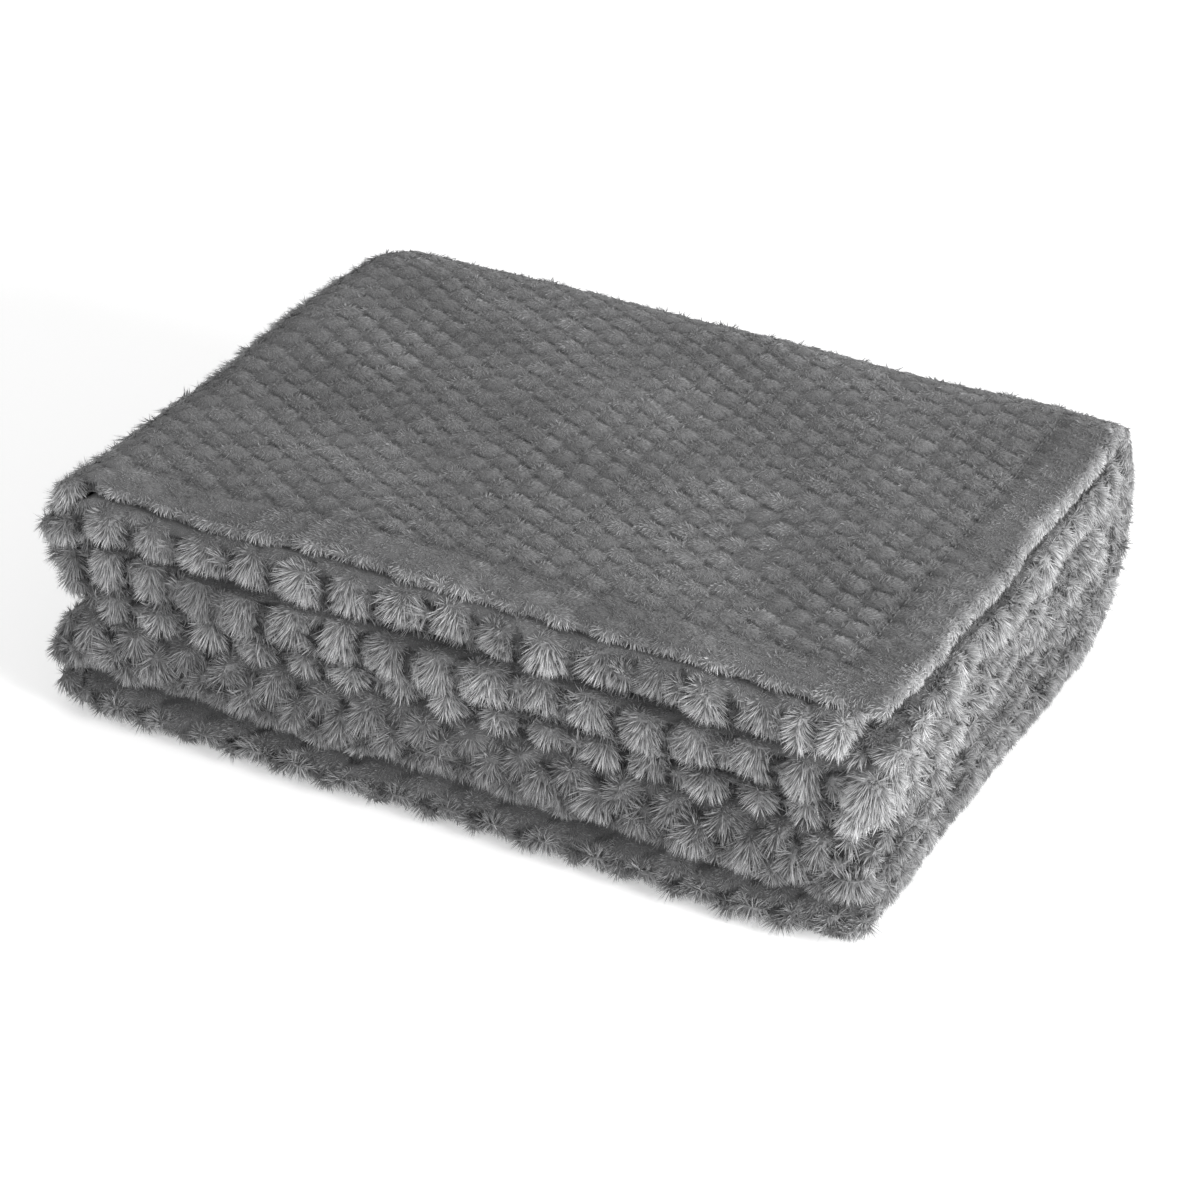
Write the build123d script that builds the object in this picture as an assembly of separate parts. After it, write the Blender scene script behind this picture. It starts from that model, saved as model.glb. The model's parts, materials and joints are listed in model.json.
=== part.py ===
"""A fleece throw blanket, folded in half four times into a stack of sixteen leaves.

The flat throw is one sheet, 1700 mm by 1300 mm. It is folded across its length, across its
width, across its length again and across its width again. Each leaf of the stack is a node,
and so is each bend that joins two leaves, so that the pieces follow one another in the order
in which the sheet runs through the bundle.

Frame: X along the long side, Y from the open front to the spine at the back, Z up. The origin
is at the bottom centre of the bundle. Levels are counted from the outside of each half, so
level 1 is the underside and the top, and level 8 lies at the middle of the height.
"""
from build123d import *
import os

os.makedirs("parts", exist_ok=True)

# Driving dimensions, in millimetres
BUNDLE_WIDTH = 425.0
BUNDLE_DEPTH = 340.0
LEAF_PITCH = 7.9
GAP = 0.3
LEVELS = 8

# The hem that runs along the free edges, and the thread that holds it
HEM_WIDTH = 27.0
HEM_END_CLEARANCE = 12.0
STITCH_LENGTH = 3.2
STITCH_SPACING = 4.6
STITCH_WIDTH = 0.8
STITCH_HEIGHT = 0.4

# Sizes that follow from them
LEAF_THICKNESS = LEAF_PITCH - GAP
HALF_HEIGHT = LEVELS * LEAF_PITCH - GAP / 2
LEFT_X = -BUNDLE_WIDTH / 2
RIGHT_X = BUNDLE_WIDTH / 2
FRONT_Y = -BUNDLE_DEPTH / 2
LEFT_BEND_X = LEFT_X + 4 * LEAF_PITCH - GAP / 2
RIGHT_BEND_X = RIGHT_X - LEAF_PITCH + GAP / 2
FRONT_BEND_Y = FRONT_Y + 2 * LEAF_PITCH - GAP / 2
SPINE_Y = BUNDLE_DEPTH / 2 - HALF_HEIGHT
SPINE_AXIS = Axis((0, SPINE_Y, HALF_HEIGHT), (1, 0, 0))


def level_z(level):
    """Middle height of a leaf of the lower half."""
    return (level - 0.5) * LEAF_PITCH - GAP / 2


def bend_z(first, last):
    """Height of the axis of the bend that joins two leaves of the lower half."""
    return (level_z(first) + level_z(last)) / 2


def bend_radius(first, last):
    """Radius, at mid thickness, of the bend that joins two leaves."""
    return abs(level_z(first) - level_z(last)) / 2


def half_ring(radius):
    """Half of a ring with the leaf's thickness, on the +X side of the sketch's own plane."""
    outer = radius + LEAF_THICKNESS / 2
    inner = radius - LEAF_THICKNESS / 2
    keep = Pos(outer, 0) * Rectangle(2 * outer, 3 * outer)
    return (Circle(outer) - Circle(inner)) & keep


def left_facing(level, y):
    """Plane across the depth at y, with its own X towards the left end."""
    return Plane(origin=(LEFT_BEND_X, y, bend_z(level, 9 - level)), x_dir=(-1, 0, 0), z_dir=(0, 1, 0))


def right_facing(first, last, y):
    """Plane across the depth at y, with its own X towards the right end."""
    return Plane(origin=(RIGHT_BEND_X, y, bend_z(first, last)), x_dir=(1, 0, 0), z_dir=(0, -1, 0))


def front_facing(first, last, x):
    """Plane across the width at x, with its own X towards the front."""
    return Plane(origin=(x, FRONT_BEND_Y, bend_z(first, last)), x_dir=(0, -1, 0), z_dir=(1, 0, 0))


def right_end(level):
    """Where a leaf stops at the right: levels 1 to 4 end in a hem, the others in a bend."""
    return RIGHT_X if level <= 4 else RIGHT_BEND_X


def slab(x0, x1, y0, y1, z):
    """A flat leaf between two corners, centred on height z."""
    middle = Pos((x0 + x1) / 2, (y0 + y1) / 2, z)
    return middle * Box(x1 - x0, y1 - y0, LEAF_THICKNESS)


def over(piece):
    """The same piece in the upper half of the bundle."""
    return mirror(piece, about=Plane.XY.offset(HALF_HEIGHT))


def lower_leaf(level):
    return slab(LEFT_BEND_X, right_end(level), FRONT_BEND_Y, SPINE_Y, level_z(level))


def upper_leaf(level):
    return over(slab(LEFT_BEND_X, right_end(level), FRONT_Y, SPINE_Y - GAP, level_z(level)))


def left_bend(level, y0, y1):
    """Bend at the left end that joins a level to the level nested with it."""
    section = left_facing(level, y0) * half_ring(bend_radius(level, 9 - level))
    return extrude(section, amount=y1 - y0)


def right_bend(first, last, y0, y1):
    section = right_facing(first, last, y1) * half_ring(bend_radius(first, last))
    return extrude(section, amount=y1 - y0)


def front_bend(first, last):
    """Bend along the front of the lower half; the outer four end at the hem on the right."""
    section = front_facing(first, last, LEFT_BEND_X) * half_ring(bend_radius(first, last))
    return extrude(section, amount=right_end(first) - LEFT_BEND_X)


def front_left_corner(first, last):
    """The front bend carried round the left end, from the lowest leaves to the highest."""
    section = front_facing(first, last, LEFT_BEND_X) * half_ring(bend_radius(first, last))
    turn = Axis((LEFT_BEND_X, FRONT_BEND_Y, bend_z(1, 8)), (0, 1, 0))
    return revolve(section, axis=turn, revolution_arc=180)


def front_right_corner():
    """The bend at the right carried round the front, from levels 8 and 7 to levels 5 and 6."""
    section = right_facing(8, 7, FRONT_BEND_Y) * half_ring(bend_radius(8, 7))
    turn = Axis((RIGHT_BEND_X, FRONT_BEND_Y, bend_z(8, 5)), (1, 0, 0))
    return revolve(section, axis=turn, revolution_arc=180)


def spine_bend(level):
    """A leaf carried over the last fold, at the back."""
    width = right_end(level) - LEFT_BEND_X
    middle = Plane(
        origin=((right_end(level) + LEFT_BEND_X) / 2, SPINE_Y, level_z(level)),
        x_dir=(1, 0, 0),
        z_dir=(0, -1, 0),
    )
    return revolve(middle * Rectangle(width, LEAF_THICKNESS), axis=SPINE_AXIS, revolution_arc=180)


def spine_left_corner(level):
    section = left_facing(level, SPINE_Y) * half_ring(bend_radius(level, 9 - level))
    return revolve(section, axis=SPINE_AXIS, revolution_arc=180)


def spine_right_corner(first, last):
    section = right_facing(first, last, SPINE_Y) * half_ring(bend_radius(first, last))
    return revolve(section, axis=SPINE_AXIS, revolution_arc=180)


def stitch_row(start, direction, run):
    """A row of short raised stitches on the top leaf, as a group of separate solids."""
    count = int(run / STITCH_SPACING)
    along_x = direction.X > 0.5
    size = (STITCH_LENGTH, STITCH_WIDTH) if along_x else (STITCH_WIDTH, STITCH_LENGTH)
    stitches = []
    for number in range(count):
        place = start + direction * (STITCH_SPACING * (number + 0.5))
        stitches.append(Pos(place.X, place.Y, place.Z) * Box(*size, STITCH_HEIGHT))
    return Compound(children=stitches)


def write(name, piece):
    """Write one node, and say how large it is."""
    piece.label = name
    export_step(piece, f"parts/{name}.step")
    print(f"{name:28s} {piece.volume:12.1f} mm3")


# The leaves
for level in range(1, LEVELS + 1):
    write(f"lower_leaf_{level}", lower_leaf(level))
    write(f"upper_leaf_{level}", upper_leaf(level))
    write(f"spine_bend_{level}", spine_bend(level))

# The bends at the left end, nested four deep in each half
for level in range(1, 5):
    write(f"lower_left_bend_{level}", left_bend(level, FRONT_BEND_Y, SPINE_Y))
    write(f"upper_left_bend_{level}", over(left_bend(level, FRONT_Y, SPINE_Y - GAP)))
    write(f"spine_left_corner_{level}", spine_left_corner(level))

# The bends at the right end
for number, (first, last) in enumerate([(5, 6), (8, 7)], start=1):
    write(f"lower_right_bend_{number}", right_bend(first, last, FRONT_BEND_Y, SPINE_Y))
    write(f"upper_right_bend_{number}", over(right_bend(first, last, FRONT_Y, SPINE_Y - GAP)))
    write(f"spine_right_corner_{number}", spine_right_corner(first, last))

# The bends along the front of the lower half, and its corners
for number, (first, last) in enumerate([(1, 4), (2, 3), (8, 5), (7, 6)], start=1):
    write(f"lower_front_bend_{number}", front_bend(first, last))
write("front_left_corner_outer", front_left_corner(1, 4))
write("front_left_corner_inner", front_left_corner(2, 3))
write("front_right_corner", front_right_corner())

# The thread of the hem, on the top leaf's front and right edges
STITCH_Z = 2 * HALF_HEIGHT + STITCH_HEIGHT / 2
front_start = Vector(LEFT_BEND_X, FRONT_Y + HEM_WIDTH, STITCH_Z)
right_start = Vector(RIGHT_X - HEM_WIDTH, FRONT_Y + HEM_END_CLEARANCE, STITCH_Z)
front_run = BUNDLE_WIDTH - 2 * HEM_WIDTH - 4 * LEAF_PITCH
right_run = SPINE_Y - FRONT_Y - 2 * HEM_END_CLEARANCE
write("front_hem_stitching", stitch_row(front_start, Vector(1, 0, 0), front_run))
write("right_hem_stitching", stitch_row(right_start, Vector(0, 1, 0), right_run))
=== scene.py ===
# %% [markdown]
# # A folded fleece throw
# The throw is one sheet of thick fleece, folded in half four times. The frame gives the packed
# leaves and bends of the bundle. This file wraps them in cloth: first the folded sheets, then the
# pile that stands on them, then the hem's thread, the finishes, the light and the camera.

# %% Load the frame
import math
import bmesh
import bpy
import numpy as np
from mathutils import Matrix, Vector
from mathutils.bvhtree import BVHTree
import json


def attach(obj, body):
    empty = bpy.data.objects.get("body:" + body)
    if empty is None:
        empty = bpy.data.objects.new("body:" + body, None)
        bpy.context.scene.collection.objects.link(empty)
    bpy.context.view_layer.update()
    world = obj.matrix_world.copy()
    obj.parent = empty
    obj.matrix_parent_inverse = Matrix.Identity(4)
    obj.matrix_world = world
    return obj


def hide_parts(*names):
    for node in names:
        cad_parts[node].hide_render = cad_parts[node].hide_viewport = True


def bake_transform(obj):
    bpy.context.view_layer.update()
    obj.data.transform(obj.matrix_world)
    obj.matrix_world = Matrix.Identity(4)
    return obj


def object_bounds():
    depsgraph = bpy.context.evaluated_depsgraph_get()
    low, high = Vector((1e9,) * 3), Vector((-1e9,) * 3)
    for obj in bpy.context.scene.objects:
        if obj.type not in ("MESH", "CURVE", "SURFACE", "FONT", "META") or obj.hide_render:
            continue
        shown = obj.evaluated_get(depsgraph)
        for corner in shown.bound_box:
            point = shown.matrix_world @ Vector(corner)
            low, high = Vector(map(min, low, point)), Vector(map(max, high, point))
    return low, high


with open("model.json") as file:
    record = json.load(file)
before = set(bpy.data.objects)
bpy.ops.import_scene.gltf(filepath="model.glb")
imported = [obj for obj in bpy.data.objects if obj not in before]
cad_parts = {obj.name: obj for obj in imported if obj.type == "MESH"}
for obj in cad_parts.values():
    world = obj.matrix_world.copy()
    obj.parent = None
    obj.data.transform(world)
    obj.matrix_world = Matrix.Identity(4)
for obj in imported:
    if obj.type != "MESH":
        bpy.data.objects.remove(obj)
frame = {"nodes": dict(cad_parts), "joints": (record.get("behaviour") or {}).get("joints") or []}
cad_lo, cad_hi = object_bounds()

print("frame nodes:", len(frame["nodes"]), "box:", tuple(cad_lo), tuple(cad_hi))

# %% [markdown]
# ## Sizes
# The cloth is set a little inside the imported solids, because its pile stands out from it and the
# two together fill the bundle. The last fold turns about the joint's axis, so its height and its
# place are read from the joint and not chosen here. Lengths are in metres.

# %% Sizes
joint = frame["joints"][0]
SPINE_Y = joint["pos_m"][1]
MID_Z = joint["pos_m"][2]
LEVELS = 8
SIDE_SETBACK = 0.005
FLOOR_SETBACK = 0.002
PITCH = (MID_Z - FLOOR_SETBACK) / LEVELS
LEFT = cad_lo.x + SIDE_SETBACK
RIGHT = cad_hi.x - SIDE_SETBACK
FRONT = cad_lo.y + SIDE_SETBACK
WIDTH = RIGHT - LEFT
LEFT_BEND = WIDTH - 4 * PITCH
SPINE_START = SPINE_Y - FRONT
NOSE_Y = 2 * PITCH
CLOTH_THICKNESS = 0.90 * PITCH
print(f"pitch {PITCH * 1000:.2f} mm, width {WIDTH * 1000:.0f} mm")

# %% [markdown]
# ## Small helpers
# A ramp that eases in and out is used wherever a shape fades from one zone into another. A sum of
# a few sine waves stands in for the slow unevenness that cloth has, and is the same on every run.
# Two more finish a mesh and stand it in the scene.

# %% Ramp, waves and meshes
def ease(value, start, end):
    """0 before start, 1 after end, and smooth between them."""
    t = np.clip((value - start) / (end - start), 0.0, 1.0)
    return t * t * (3 - 2 * t)


def waves(x, y, length, seed):
    """Slow unevenness between about -1 and 1, with bumps roughly the given length across."""
    rng = np.random.default_rng(seed)
    total = np.zeros_like(x)
    for _ in range(5):
        angle = rng.uniform(0, 2 * math.pi)
        turn = 2 * math.pi / (length * rng.uniform(0.7, 1.6))
        phase = rng.uniform(0, 2 * math.pi)
        total += np.sin((x * math.cos(angle) + y * math.sin(angle)) * turn + phase)
    return total / 3.0


def finished(name, bm):
    """The mesh built so far, under that name."""
    mesh = bpy.data.meshes.new(name)
    bm.to_mesh(mesh)
    bm.free()
    return mesh


def stand(name, data):
    """A new object of the scene, at the origin."""
    made = bpy.data.objects.new(name, data)
    bpy.context.scene.collection.objects.link(made)
    return made


print("ease at the middle:", float(ease(np.array(0.5), 0, 1)))

# %% [markdown]
# ## The sheet as a grid
# Two leaves that meet round the left end are one stretch of cloth, so there are four such
# stretches, nested in one another. Each starts as a flat grid with a second layer for its
# thickness. Its rows and columns crowd together where the cloth shows or bends. Each column and
# row has a kind, which says in which fold it turns, if any.

# %% Rows and columns
OUTWARD, LEFT_TURN, BACKWARD, RIGHT_TURN = range(4)
FRONT_TURN, LOWER, SPINE_TURN, UPPER = range(4)
RIM = 0.036
LEAST_GAP = 5e-4
LEFT_TURN_COLUMNS = 30
RIGHT_TURN_COLUMNS = 4
FRONT_TURN_ROWS = 5


def spaced(length, fine, coarse, rim):
    """Places from 0 to length, close together within rim of both ends."""
    ends = max(2, round(rim / fine))
    middle = max(2, round((length - 2 * rim) / coarse))
    first = np.linspace(0, rim, ends + 1)
    core = np.linspace(rim, length - rim, middle + 1)
    last = np.linspace(length - rim, length, ends + 1)
    return np.concatenate([first, core[1:-1], last])


def rounded_end(radius, steps=5):
    """Distances from a free edge that suit a half-round edge of that radius."""
    return radius * (1 - np.cos(np.linspace(0, math.pi / 2, steps + 1)))


class Line:
    """A way across the cloth: each place's kind, where it lies there and how far along."""

    def __init__(self, kind, value, length):
        self.kind = np.array(kind)
        self.value = np.array(value, float)
        self.length = np.array(length, float)


def columns(inner, fine, coarse):
    """Columns from the right end, round the left bend and back to the right end's small bend."""
    radius = (3.5 - inner) * PITCH
    kinds, values, lengths = [], [], []
    out = spaced(LEFT_BEND, fine[0], coarse[0], RIM)
    beyond = out[out > PITCH / 2 + LEAST_GAP]
    out = np.unique(np.round(np.concatenate([rounded_end(PITCH / 2), beyond]), 6))
    for x in out:
        kinds.append(OUTWARD)
        values.append(x)
        lengths.append(x)
    for step in range(1, LEFT_TURN_COLUMNS):
        angle = math.pi * step / LEFT_TURN_COLUMNS
        kinds.append(LEFT_TURN)
        values.append(angle)
        lengths.append(LEFT_BEND + radius * angle)
    over = LEFT_BEND + radius * math.pi
    back = spaced(LEFT_BEND - PITCH, fine[1], coarse[1], RIM)
    for x in back:
        kinds.append(BACKWARD)
        values.append(LEFT_BEND - x)
        lengths.append(over + x)
    nose = over + LEFT_BEND - PITCH
    for step in range(1, RIGHT_TURN_COLUMNS + 1):
        angle = math.pi / 2 * step / RIGHT_TURN_COLUMNS
        kinds.append(RIGHT_TURN)
        values.append(angle)
        lengths.append(nose + PITCH / 2 * angle)
    return Line(kinds, values, lengths)


def rows(fine, coarse, spine_steps, hem_radius):
    """Rows from the front bend of the lower half, over the spine and on to the front hem."""
    kinds, values, lengths = [], [], []
    for step in range(FRONT_TURN_ROWS):
        angle = math.pi / 2 * (1 - step / FRONT_TURN_ROWS)
        kinds.append(FRONT_TURN)
        values.append(angle)
        lengths.append(1.5 * PITCH * (math.pi / 2 - angle))
    start = 1.5 * PITCH * math.pi / 2
    for y in spaced(SPINE_START - NOSE_Y, fine, coarse, RIM):
        kinds.append(LOWER)
        values.append(NOSE_Y + y)
        lengths.append(start + y)
    start += SPINE_START - NOSE_Y
    radius = 7.5 * PITCH
    for step in range(1, spine_steps):
        angle = math.pi * step / spine_steps
        kinds.append(SPINE_TURN)
        values.append(angle)
        lengths.append(start + radius * angle)
    start += radius * math.pi
    out = spaced(SPINE_START, fine, coarse, RIM)
    before = out[out < SPINE_START - hem_radius - LEAST_GAP]
    edge = SPINE_START - rounded_end(hem_radius)[::-1]
    for y in np.unique(np.round(np.concatenate([before, edge]), 6)):
        kinds.append(UPPER)
        values.append(SPINE_START - y)
        lengths.append(start + y)
    return Line(kinds, values, lengths)


print("places on 100 mm:", len(spaced(0.100, 0.004, 0.010, RIM)))

# %% [markdown]
# ## Folding
# A grid point knows how far along the cloth it lies, both ways, and which side of the thickness it
# is on. Folding takes it through the four folds in their real order: the small bend at the right,
# the bend along the front, the big bend at the left and the spine. Each one swings the point about
# that fold's axis, so nested layers keep their order and their distance.

# %% The four folds
def swing(height, axis, angle):
    """A point at height beside a fold's axis, turned by angle: how far it reaches, and its height."""
    arm = np.abs(axis - height)
    return arm * np.sin(angle), axis + (height - axis) * np.cos(angle)


def fold(inner, depth, kind_x, value_x, kind_y, value_y):
    """Places of grid points after the four folds, measured from the right end, front and floor."""
    height = (inner + 0.5) * PITCH + depth
    small_axis = PITCH if inner < 2 else 3 * PITCH
    reach, height = swing(height, small_axis, np.where(kind_x == RIGHT_TURN, value_x, 0.0))
    along = np.where(kind_x == LEFT_TURN, LEFT_BEND, value_x)
    along = np.where(kind_x == RIGHT_TURN, PITCH - reach, along)
    reach, height = swing(height, 2 * PITCH, np.where(kind_y == FRONT_TURN, value_y, 0.0))
    across = np.where(kind_y == SPINE_TURN, SPINE_START, value_y)
    across = np.where(kind_y == FRONT_TURN, NOSE_Y - reach, across)
    turn = np.where(kind_x == LEFT_TURN, value_x, np.where(kind_x >= BACKWARD, math.pi, 0.0))
    reach, height = swing(height, 4 * PITCH, turn)
    along = np.where(kind_x == LEFT_TURN, LEFT_BEND + reach, along)
    turn = np.where(kind_y == SPINE_TURN, value_y, np.where(kind_y == UPPER, math.pi, 0.0))
    reach, height = swing(height, LEVELS * PITCH, turn)
    across = np.where(kind_y == SPINE_TURN, SPINE_START + reach, across)
    return along, across, height, turn / math.pi


# %% [markdown]
# ## Uneven layers
# A stack folded by hand isn't a ruled block. Along the open front some layers swell into fat rolls
# and their neighbours are squeezed between them, some stand out and some draw back. The lists give
# each layer's share of the height and how far it stands out, from the outside in, at the front and
# at the right end. Everything fades out towards the middle of the stack.

# %% Shares of the height and stagger of the edges
UPPER_FRONT_SHARE = (6.5, 16.0, 3.5, 4.5, 15.0, 3.5, 3.5, 8.5)
LOWER_FRONT_SHARE = (4.0, 4.0, 4.0, 4.0, 7.0, 7.0, 7.5, 8.5)
UPPER_RIGHT_SHARE = (8.5, 4.5, 13.0, 6.0, 5.5, 4.5, 6.5, 6.5)
LOWER_RIGHT_SHARE = (7.5, 6.0, 5.0, 7.5, 4.5, 5.0, 6.0, 7.0)
UPPER_FRONT_OUT = (-0.001, 0.008, -0.010, -0.006, 0.004, -0.006, -0.004, -0.002)
UPPER_RIGHT_OUT = (0.002, -0.016, 0.004, -0.010, 0.003, -0.012, 0.003, -0.008)
LOWER_RIGHT_OUT = (-0.004, -0.016, -0.003, -0.013, -0.001, -0.013, -0.002, -0.012)
LOWER_FRONT_HEIGHTS = (0.0, 2.0, 4.0, 4.6, 6.0, 7.4, 8.0)
LOWER_FRONT_OUT = (0.003, 0.006, -0.007, 0.004, 0.007, 0.005, -0.004)
SPLIT_FRONT = 0.0560
SPLIT_RIGHT = 0.0600
BACK_LIFT = 0.0060
BACK_RISE = (0.05, 0.27)
EDGE_DRIFT = 0.0020
FRONT_WOBBLE = 0.0016
RIGHT_WOBBLE = 0.0014
TOP_SAG = 0.0016
FRONT_FADE = (0.004, 0.075)
RIGHT_FADE = (0.004, 0.060)
FRONT_REACH = 0.060
RIGHT_REACH = 0.050
LAYER_SHIFT = 0.03


def stack_map(lower, upper, split):
    """Heights of the layers' borders for these shares, where the halves meet at split."""
    top = 2 * LEVELS * PITCH
    low = np.cumsum([0.0, *lower]) / sum(lower) * split
    high = top - np.cumsum([0.0, *upper]) / sum(upper) * (top - split)
    return np.concatenate([low, high[::-1][1:]])


EVEN = np.arange(2 * LEVELS + 1) * PITCH
FRONT_MAP = stack_map(LOWER_FRONT_SHARE, UPPER_FRONT_SHARE, SPLIT_FRONT)
RIGHT_MAP = stack_map(LOWER_RIGHT_SHARE, UPPER_RIGHT_SHARE, SPLIT_RIGHT)


def layer_value(values, first, second, kind_x, value_x):
    """A layer's own value, passing over to its partner's round the left bend."""
    share = np.where(kind_x == LEFT_TURN, value_x / math.pi, np.where(kind_x >= BACKWARD, 1.0, 0.0))
    share = share * share * (3 - 2 * share)
    return values[first] * (1 - share) + values[second] * share


def unsettle(inner, along, across, height, kind_x, value_x, kind_y):
    """Moves folded points from the ruled stack to the uneven one."""
    x, y, z = along, across, height
    near_front = 1 - ease(y, *FRONT_FADE)
    near_right = (1 - ease(x, *RIGHT_FADE)) * (1 - near_front)
    at_front = np.interp(z, EVEN, FRONT_MAP)
    at_right = np.interp(z, EVEN, RIGHT_MAP)
    new_z = z + near_front * (at_front - z) + near_right * (at_right - z)
    upper = kind_y == UPPER
    out = layer_value(UPPER_FRONT_OUT, inner, 7 - inner, kind_x, value_x)
    low = np.interp(z / PITCH, LOWER_FRONT_HEIGHTS, LOWER_FRONT_OUT)
    out = np.where(upper, out, low)
    out = out - EDGE_DRIFT * waves(x, 2.0 * z, 0.09, 51) * upper
    upper_wobble = waves(x, LAYER_SHIFT * new_z / PITCH, 0.11, 7 + inner)
    out = out + FRONT_WOBBLE * np.where(upper, upper_wobble, waves(x, z, 0.12, 3))
    new_y = y - out * (1 - ease(y, 0.0, FRONT_REACH))
    side = np.where(
        upper,
        layer_value(UPPER_RIGHT_OUT, inner, 7 - inner, kind_x, value_x),
        layer_value(LOWER_RIGHT_OUT, inner, 7 - inner, kind_x, value_x),
    )
    side = side + RIGHT_WOBBLE * waves(y, z, 0.10, 21 + inner)
    new_x = x - side * (1 - ease(x, 0.0, RIGHT_REACH))
    lift = TOP_SAG * waves(x, y, 0.16, 5) * new_z / (2 * LEVELS * PITCH)
    lift = lift + BACK_LIFT * ease(y, *BACK_RISE) * np.clip(new_z / (LEVELS * PITCH) - 1, 0, 1)
    return new_x, new_y, new_z + lift


print("front borders, mm:", np.round(FRONT_MAP * 1000, 1))

# %% [markdown]
# ## Popcorn bumps
# The fleece is knitted so that it rises in small round bumps set like the dots of a domino's five.
# Each point's place in that pattern is kept on the mesh as an attribute. The raised cloth, the way
# the pile leans, the shorter locks in the cracks and the shade painted there and near each bump's
# rim all find the nearest bump from it.

# %% Place in the pattern of bumps
BUMP_ACROSS = 0.0250
BUMP_ALONG = 0.0145
ROW_WANDER = 0.0016


def bump_places(length_x, length_y):
    """Where in the pattern each point lies: the rows wander a little, as knitted rows do."""
    x = length_x + ROW_WANDER * waves(length_x, length_y, 0.060, 31)
    y = length_y + ROW_WANDER * waves(length_x, length_y, 0.055, 32)
    return x, y


print("bumps every", BUMP_ACROSS * 1000, "by", BUMP_ALONG * 1000, "mm")

# %% [markdown]
# ## Making a stretch of cloth
# The grid operator makes the flat stretch and an extrusion gives it its second layer. Points are
# then moved by the folds. The two layers meet at a hem, so the edge closes in a half round.

# %% Build one stretch
HEM_RADIUS = (0.0036, 0.0085, 0.0036, 0.0036)


def flat_slab(name, across, along):
    """A two-layer grid with a point for each column and row, in a box of side 1."""
    bm = bmesh.new()
    bmesh.ops.create_grid(bm, x_segments=len(across) - 1, y_segments=len(along) - 1, size=0.5)
    grown = bmesh.ops.extrude_face_region(bm, geom=bm.faces[:], use_keep_orig=True)
    risen = [item for item in grown["geom"] if isinstance(item, bmesh.types.BMVert)]
    bmesh.ops.translate(bm, verts=risen, vec=(0, 0, 1))
    bmesh.ops.recalc_face_normals(bm, faces=bm.faces[:])
    return finished(name, bm)


def points(mesh):
    flat = np.empty(len(mesh.vertices) * 3)
    mesh.vertices.foreach_get("co", flat)
    return flat.reshape(-1, 3)


def keep(mesh, name, values):
    """Stores one number, or one vector, for each point of the mesh."""
    kind = "FLOAT_VECTOR" if values.ndim == 2 else "FLOAT"
    field = "vector" if values.ndim == 2 else "value"
    attribute = mesh.attributes.new(name, kind, "POINT")
    attribute.data.foreach_set(field, values.astype(np.float32).ravel())


def numbers(mesh, name):
    """An attribute of the mesh, as an array with one row for each point."""
    attribute = mesh.attributes[name]
    vector = attribute.data_type == "FLOAT_VECTOR"
    flat = np.empty(len(mesh.vertices) * (3 if vector else 1))
    attribute.data.foreach_get("vector" if vector else "value", flat)
    return flat.reshape(-1, 3) if vector else flat


def unit_rows(vectors):
    """The same vectors, each one long."""
    return vectors / np.maximum(np.linalg.norm(vectors, axis=1, keepdims=True), 1e-9)


def stretch(name, inner, fine, coarse, spine_steps):
    """The stretch of cloth that is nested that deep, folded and uneven, with its attributes."""
    across = columns(inner, fine, coarse)
    along = rows(fine[0], coarse[0], spine_steps, HEM_RADIUS[inner])
    mesh = flat_slab(name, across.kind, along.kind)
    unit = points(mesh)
    column = np.round((unit[:, 0] + 0.5) * (len(across.kind) - 1)).astype(int)
    row = np.round((unit[:, 1] + 0.5) * (len(along.kind) - 1)).astype(int)
    side = unit[:, 2] * 2 - 1
    kind_x, value_x = across.kind[column], across.value[column]
    kind_y, value_y = along.kind[row], along.value[row]
    hem = np.where(kind_y == UPPER, value_y, 1.0) / HEM_RADIUS[inner]
    end = np.where(kind_x == OUTWARD, value_x, 1.0) / (PITCH / 2)
    round_hem = np.sqrt(1 - (1 - np.clip(hem, 0, 1)) ** 2)
    round_end = np.sqrt(1 - (1 - np.clip(end, 0, 1)) ** 2)
    depth = side * CLOTH_THICKNESS / 2 * np.minimum(round_hem, round_end)
    x, y, z, turned = fold(inner, depth, kind_x, value_x, kind_y, value_y)
    x, y, z = unsettle(inner, x, y, z, kind_x, value_x, kind_y)
    placed = np.stack([RIGHT - x, FRONT + y, FLOOR_SETBACK + z], axis=1)
    mesh.vertices.foreach_set("co", placed.ravel())
    layer = (side > 0).astype(int)
    net = np.zeros((2, len(along.kind), len(across.kind), 3))
    net[layer, row, column] = placed
    keep(mesh, "tangent_x", unit_rows(np.gradient(net, across.length, axis=2)[layer, row, column]))
    keep(mesh, "tangent_y", unit_rows(np.gradient(net, along.length, axis=1)[layer, row, column]))
    keep(mesh, "turned", turned)
    bump_x, bump_y = bump_places(across.length[column], along.length[row])
    keep(mesh, "cloth", np.stack([bump_x, bump_y, side], axis=1))
    outer = (kind_x == OUTWARD) & (inner == 0)
    to_front = np.where(outer & (kind_y == UPPER), value_y, 1.0)
    keep(mesh, "hem_gap", np.minimum(to_front, np.where(outer, value_x, 1.0)))
    bm = bmesh.new()
    bm.from_mesh(mesh)
    bmesh.ops.remove_doubles(bm, verts=bm.verts[:], dist=1e-6)
    bmesh.ops.recalc_face_normals(bm, faces=bm.faces[:])
    bm.to_mesh(mesh)
    bm.free()
    return stand(name, mesh)


sheets = []
for inner in range(4):
    fine = (0.0034, 0.0052) if inner == 0 else (0.0040, 0.0040)
    coarse = (0.0034, 0.0080) if inner == 0 else (0.020, 0.020)
    steps = 48 if inner == 0 else 24
    sheet = stretch(f"cloth_{inner + 1}", inner, fine, coarse, steps)
    sheets.append(sheet)
    print(sheet.name, len(sheet.data.vertices), "points", len(sheet.data.polygons), "faces")

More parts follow.
